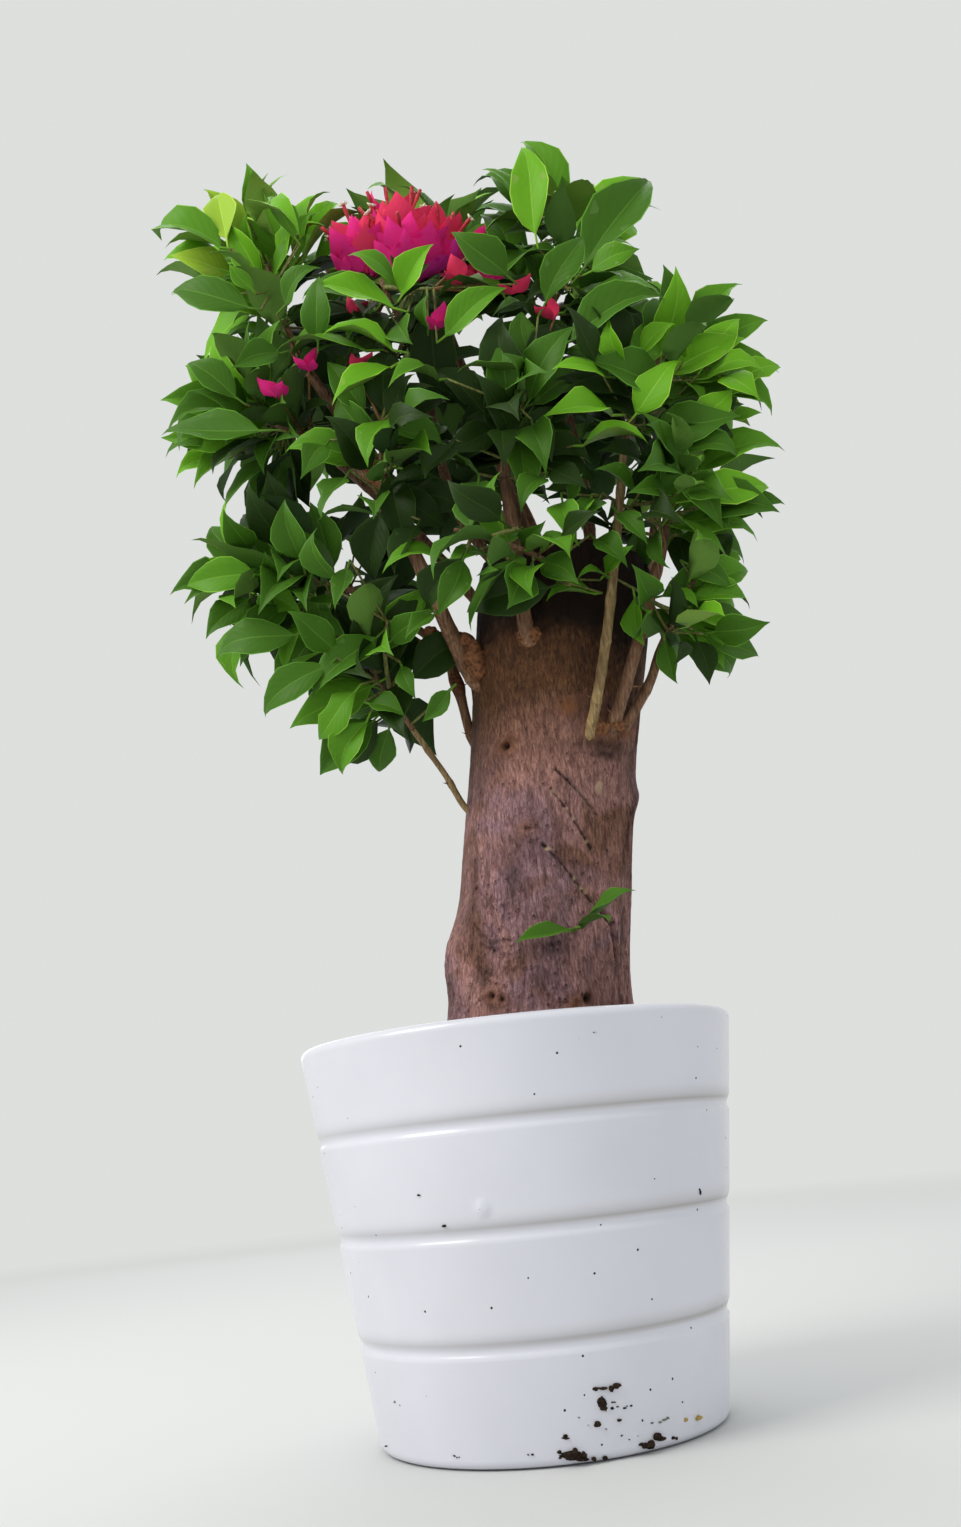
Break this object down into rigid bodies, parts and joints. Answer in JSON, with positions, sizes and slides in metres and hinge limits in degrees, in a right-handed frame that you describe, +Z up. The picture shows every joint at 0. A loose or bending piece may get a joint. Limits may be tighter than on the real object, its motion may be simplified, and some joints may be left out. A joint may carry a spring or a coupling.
{
  "type": "potted bougainvillea bonsai",
  "caption": "Bougainvillea bonsai with a thick cut-back trunk, young leafy boughs and a double pink bloom, in a white glazed pot with three grooves.",
  "frame": {"origin": "centre of the pot's flat underside", "axes": "+Z up along the pot's axis, -Y towards the side that the picture shows, +X towards the side that the trunk leans to"},
  "size_m": [0.3405, 0.2386, 0.716],
  "materials": {
    "pot_glaze": "gloss",
    "soil": "matte",
    "trunk_bark": "matte",
    "bough_bark": "matte",
    "leaf": "satin",
    "bract": "matte"
  },
  "bodies": {
    "root": {"pot": "pot_glaze", "soil": "soil", "trunk": "trunk_bark", "bough_left": "bough_bark", "bough_left_back": "bough_bark", "bough_low_left": "bough_bark", "bough_front": "bough_bark", "bough_right_inner": "bough_bark", "bough_right_back": "bough_bark", "bough_right_outer": "bough_bark", "bough_back_low": "bough_bark", "bough_back_left": "bough_bark", "bough_back_right": "bough_bark", "bough_back": "bough_bark", "bough_centre_left": "bough_bark", "bough_top_right": "bough_bark", "bough_back_top": "bough_bark", "bough_mid_left": "bough_bark", "bough_bloom": "bough_bark", "bough_inner_left": "bough_bark", "foliage_top_left": "leaf", "foliage_mid_left": "leaf", "foliage_low_left": "leaf", "foliage_low_centre": "leaf", "foliage_inner_left": "leaf", "foliage_top_centre": "leaf", "foliage_top_right": "leaf", "foliage_right_upper": "leaf", "foliage_right_mid": "leaf", "foliage_right_low": "leaf", "foliage_centre": "leaf", "foliage_front": "leaf", "foliage_back_low": "leaf", "foliage_back_left": "leaf", "foliage_back_top": "leaf", "foliage_back_right": "leaf", "foliage_back": "leaf", "bloom": "bract", "sprout": "leaf"}
  },
  "joints": []
}
